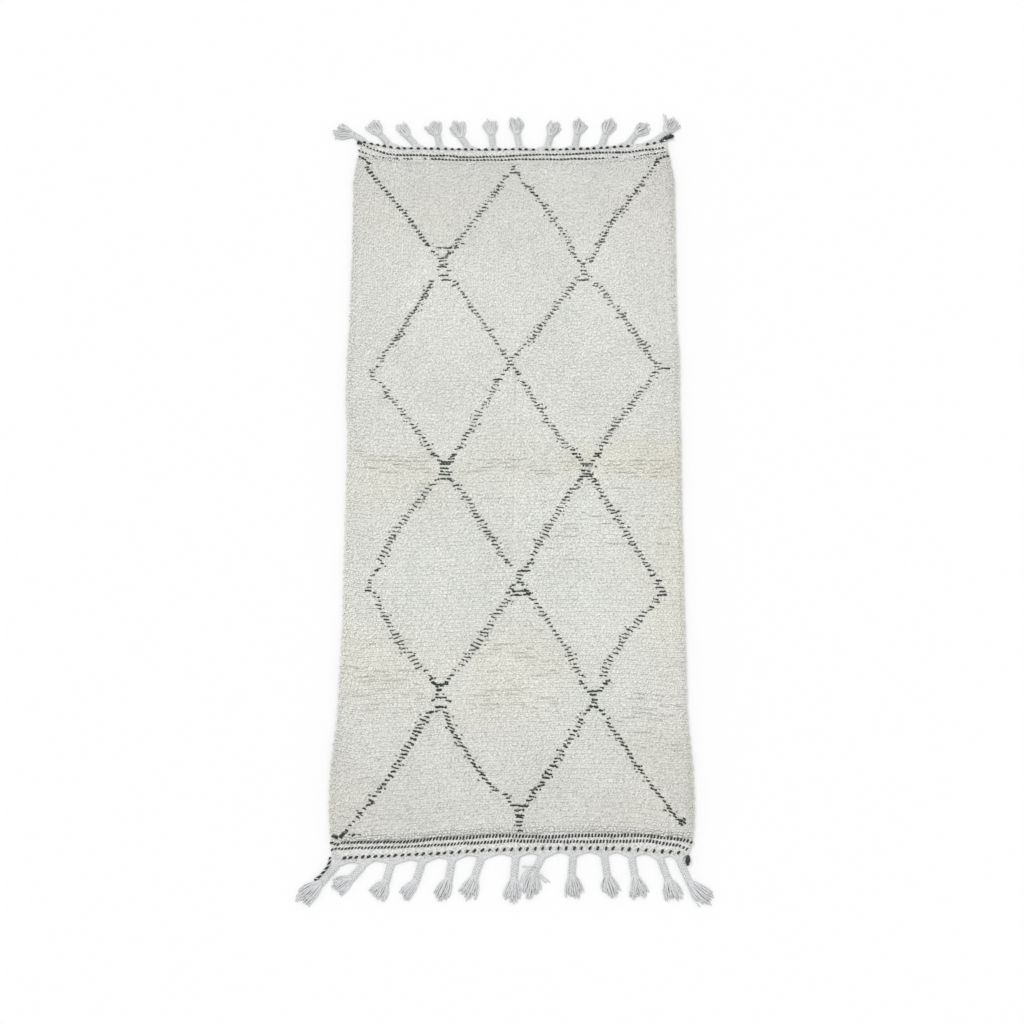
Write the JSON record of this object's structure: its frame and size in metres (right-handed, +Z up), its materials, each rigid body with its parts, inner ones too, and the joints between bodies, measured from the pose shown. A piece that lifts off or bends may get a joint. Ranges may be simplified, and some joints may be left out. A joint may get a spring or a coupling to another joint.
{
  "type": "pile runner rug",
  "caption": "Long hand-knotted off-white wool runner lying flat, with a charcoal diamond lattice, flat-woven ends with twined dark rows and plaited warp tassels.",
  "frame": {"origin": "middle of the runner's underside, on the floor, halfway along its length and across its width", "axes": "+Y along the length towards the far end, +X across the width, +Z up through the pile"},
  "size_m": [0.9111, 2.0028, 0.0154],
  "materials": {
    "wool_pile": "matt off-white hand-spun wool pile with charcoal knots",
    "warp_yarn": "matt grey-white plied warp yarn",
    "charcoal_yarn": "matt charcoal wool yarn"
  },
  "bodies": {
    "root": {"rug": "wool_pile", "tassel_far_01": "warp_yarn", "tassel_far_02": "warp_yarn", "tassel_far_03": "warp_yarn", "tassel_far_04": "warp_yarn", "tassel_far_05": "warp_yarn", "tassel_far_06": "warp_yarn", "tassel_far_07": "warp_yarn", "tassel_far_08": "warp_yarn", "tassel_far_09": "warp_yarn", "tassel_far_10": "warp_yarn", "tassel_far_11": "warp_yarn", "tassel_far_12": "warp_yarn", "tassel_near_01": "warp_yarn", "tassel_near_02": "warp_yarn", "tassel_near_03": "warp_yarn", "tassel_near_04": "warp_yarn", "tassel_near_05": "warp_yarn", "tassel_near_06": "warp_yarn", "tassel_near_07": "warp_yarn", "tassel_near_08": "warp_yarn", "tassel_near_09": "warp_yarn", "tassel_near_10": "warp_yarn", "tassel_near_11": "warp_yarn", "tassel_near_12": "warp_yarn", "tassel_near_13": "warp_yarn", "knot_far_left": "charcoal_yarn", "knot_far_right": "charcoal_yarn", "plait_near_left": "charcoal_yarn", "knot_near_right": "charcoal_yarn"}
  },
  "joints": []
}
